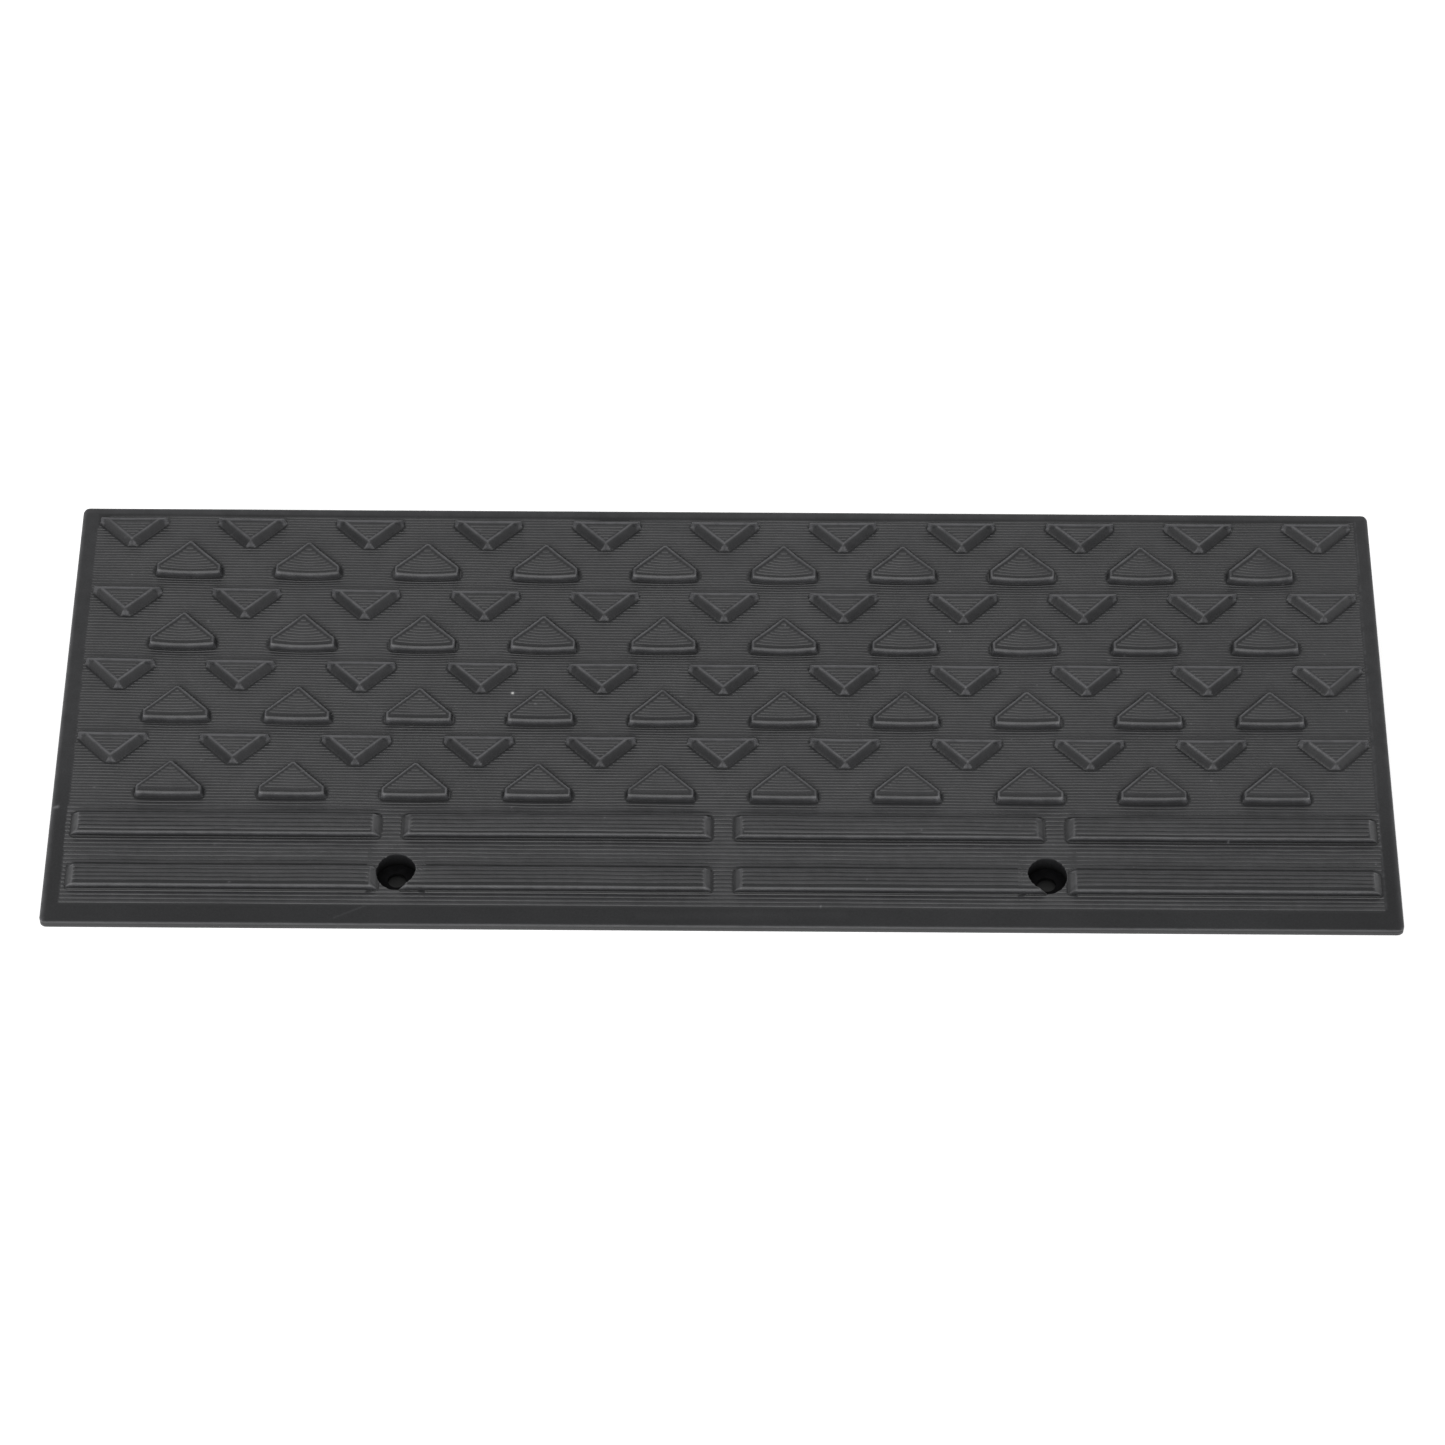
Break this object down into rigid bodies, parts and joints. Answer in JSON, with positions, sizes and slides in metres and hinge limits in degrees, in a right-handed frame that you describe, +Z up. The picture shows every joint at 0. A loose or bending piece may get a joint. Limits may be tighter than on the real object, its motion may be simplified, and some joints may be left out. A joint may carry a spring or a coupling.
{
  "type": "wheelchair ramp",
  "caption": "Black rubber wedge ramp for a kerb or door threshold, with raised triangles and cross bars for grip and recessed fixing holes near its toe.",
  "frame": {"origin": "middle of the underside, on the ground", "axes": "+X along the toe, +Y from the toe to the back wall, so the deck climbs towards +Y, +Z up"},
  "size_m": [1, 0.36, 0.0785],
  "materials": {
    "rubber": "satin moulded rubber with fine tool ridges",
    "washer": "black electrocoated steel"
  },
  "bodies": {
    "root": {"ramp_body": "rubber", "seat_washer_left": "washer", "seat_washer_right": "washer"}
  },
  "joints": []
}
